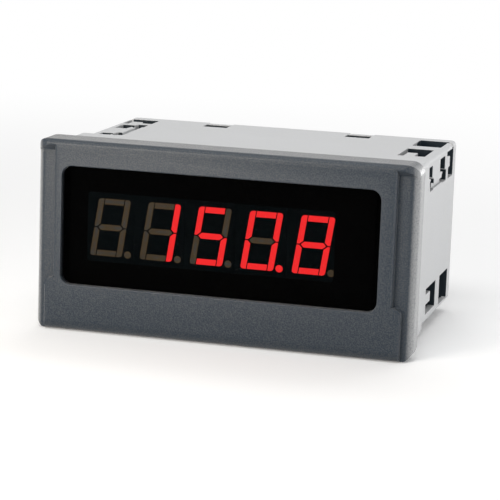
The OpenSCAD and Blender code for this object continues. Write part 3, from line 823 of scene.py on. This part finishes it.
# Winding: a rounded-rectangle loop carried along the core's leg. Going out along the leg the loop swells and
# shrinks by half a circle for every turn of wire, and comes back inside against the bobbin.
def woundCoil(centre):
    s = coilSize
    y = np.linspace(-s["halfLength"], s["halfLength"], s["turns"] * s["turnRows"] + 1)
    swell = np.sqrt(np.maximum(0.0, 1 - (2 * np.mod(y / wirePitch, 1.0) - 1) ** 2)) * s["bulge"]
    outer = roundLoop(s["halfWidth"] - s["bulge"], s["halfHeight"] - s["bulge"], s["cornerRadius"],
                      s["columns"])
    normals = roundLoop(1e-9, 1e-9, 1.0, s["columns"])
    normals = normals / np.linalg.norm(normals, axis=1)[:, None]
    shape = outer[None] + normals[None] * swell[:, None, None]
    inner = roundLoop(s["boreHalfWidth"], s["boreHalfHeight"], s["boreRadius"], s["columns"])
    loops = np.concatenate([inner[None], shape, inner[None], inner[None]])
    places = np.concatenate([[-s["halfLength"]], y, [s["halfLength"]], [-s["halfLength"]]])
    grid = np.stack([loops[..., 0], np.repeat(places[:, None], loops.shape[1], 1), loops[..., 1]], -1)
    return grid + np.array(centre)


low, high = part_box("transformer_winding")
mesh = bpy.data.meshes.new("woundCoil")
grid = woundCoil((low + high) / 2)
index = np.arange(grid.shape[0] * grid.shape[1]).reshape(grid.shape[:2])
mesh.from_pydata(grid.reshape(-1, 3), [], quadsRound(index))
closed(mesh, merging["grid"])
mesh.shade_smooth()
put("woundCoil", mesh, "wire", "case", "copper_wire", "transformer_winding")
print("coil wound")


# 1 for a ray from the camera, a reflection or a clear piece, and 0 for a ray that lights a surface.
def seenRays(tree):
    rays = shaderNode(tree, "LightPath").outputs
    return calc(tree, "MAXIMUM", rays["Is Camera Ray"], calc(
        tree, "MAXIMUM", rays["Is Glossy Ray"], rays["Is Transmission Ray"]))


floorLook = {
    "drop": 0.05 * mm,                # gap under the meter
    "halfSize": 3.0,
    "fadeFrom": 0.16,                 # where the lit floor begins to pass into the plain backdrop
    "fadeTo": 0.5,
    "colour": (0.92, 0.92, 0.92),
    "lift": 0.12,                     # what a camera or glossy ray adds to the lit floor
}


# Pale floor that takes light and shadow near the meter and passes into plain white with distance. The white and
# the lift are given only to seen rays, so they put no light on the meter.
def paleFloor():
    look = floorLook
    mesh = bpy.data.meshes.new("floor")
    s, z = look["halfSize"], cadLow.z - look["drop"]
    mesh.from_pydata([(-s, -s, z), (s, -s, z), (s, s, z), (-s, s, z)], [], [(0, 1, 2, 3)])
    floor = bpy.data.objects.new("floor", mesh)
    bpy.context.scene.collection.objects.link(floor)
    material = bpy.data.materials.new("paleFloor")
    material.use_nodes = True
    tree = material.node_tree
    tree.nodes.remove(tree.nodes["Principled BSDF"])
    x, y, _ = axes(tree, place(tree))
    reach = calc(tree, "SQRT", calc(tree, "ADD", calc(tree, "MULTIPLY", x, x), calc(tree, "MULTIPLY", y, y)))
    far = span(tree, reach, look["fadeFrom"], look["fadeTo"], smooth=True)
    seen = seenRays(tree)
    lit = shaderNode(tree, "BsdfDiffuse", {"Color": (*look["colour"], 1.0)}).outputs[0]
    glow = shaderNode(tree, "Emission", {"Strength": calc(tree, "MULTIPLY", seen, look["lift"])}).outputs[0]
    near = shaderNode(tree, "AddShader", {0: lit, 1: glow}).outputs[0]
    white = shaderNode(tree, "Emission", {"Strength": 1.0}).outputs[0]
    mixed = shaderNode(tree, "MixShader", {0: calc(tree, "MULTIPLY", far, seen), 1: near, 2: white}).outputs[0]
    tree.links.new(mixed, tree.nodes["Material Output"].inputs["Surface"])
    mesh.materials.append(material)


roomLight = 0.42                      # strength of the room's light on the meter


def worldLight(strength):
    world = bpy.data.worlds.new("paleRoom")
    bpy.context.scene.world = world
    world.use_nodes = True
    tree = world.node_tree
    background = tree.nodes["Background"]
    background.inputs["Color"].default_value = (1.0, 1.0, 1.0, 1.0)
    wire(tree, background.inputs["Strength"], span(tree, seenRays(tree), 0.0, 1.0, strength, 1.0))


lamps = {  # place, what it aims at, width, height, watts, colour
    "topKey": ((-0.05, -0.42, 0.72), (0.0, 0.0, 0.0), 0.42, 0.32, 2.2, (1.0, 1.0, 1.0)),
    "topBack": ((0.05, 0.42, 0.55), (0.0, 0.03, 0.0), 0.5, 0.3, 1.1, (1.0, 1.0, 1.0)),
    "leftFront": ((-0.10, -0.20, 0.05), (-0.01, 0.0, 0.01), 0.12, 0.06, 0.30, (1.0, 0.92, 0.82)),
    "rightFront": ((0.36, -0.16, 0.03), (0.04, 0.0, 0.0), 0.22, 0.10, 0.3, (1.0, 1.0, 1.0)),
    "rightBack": ((0.30, 0.50, 0.03), (0.04, 0.0, 0.0), 0.35, 0.10, 0.5, (1.0, 1.0, 1.0)),
}


def areaLamp(name, where, target, width, height, watts, colour):
    data = bpy.data.lights.new(name, "AREA")
    data.shape = "RECTANGLE"
    data.size, data.size_y, data.energy = width, height, watts
    data.color = colour
    lamp = bpy.data.objects.new(name, data)
    bpy.context.scene.collection.objects.link(lamp)
    lamp.visible_camera = False
    lamp.location = where
    lamp.rotation_euler = (Vector(target) - Vector(where)).to_track_quat("-Z", "Y").to_euler()


cameraPlace = {
    "location": (0.1442768, -0.5098791, 0.1021993),
    "turnDegrees": (78.9341, -2.0012, 15.6325),
    "lens": 158.2066,
    "sensor": 36.0,
    "near": 0.01,
    "far": 20.0,
}


def meterCamera():
    data = bpy.data.cameras.new("meterCamera")
    data.sensor_width = cameraPlace["sensor"]
    data.lens = cameraPlace["lens"]
    data.clip_start, data.clip_end = cameraPlace["near"], cameraPlace["far"]
    camera = bpy.data.objects.new("meterCamera", data)
    bpy.context.scene.collection.objects.link(camera)
    camera.location = cameraPlace["location"]
    camera.rotation_euler = [math.radians(a) for a in cameraPlace["turnDegrees"]]
    bpy.context.scene.camera = camera


paleFloor()
worldLight(roomLight)
for name, lampValues in lamps.items():
    areaLamp(name, *lampValues)
meterCamera()
bpy.context.scene.view_settings.view_transform = "Standard"
print("floor, light and camera set")
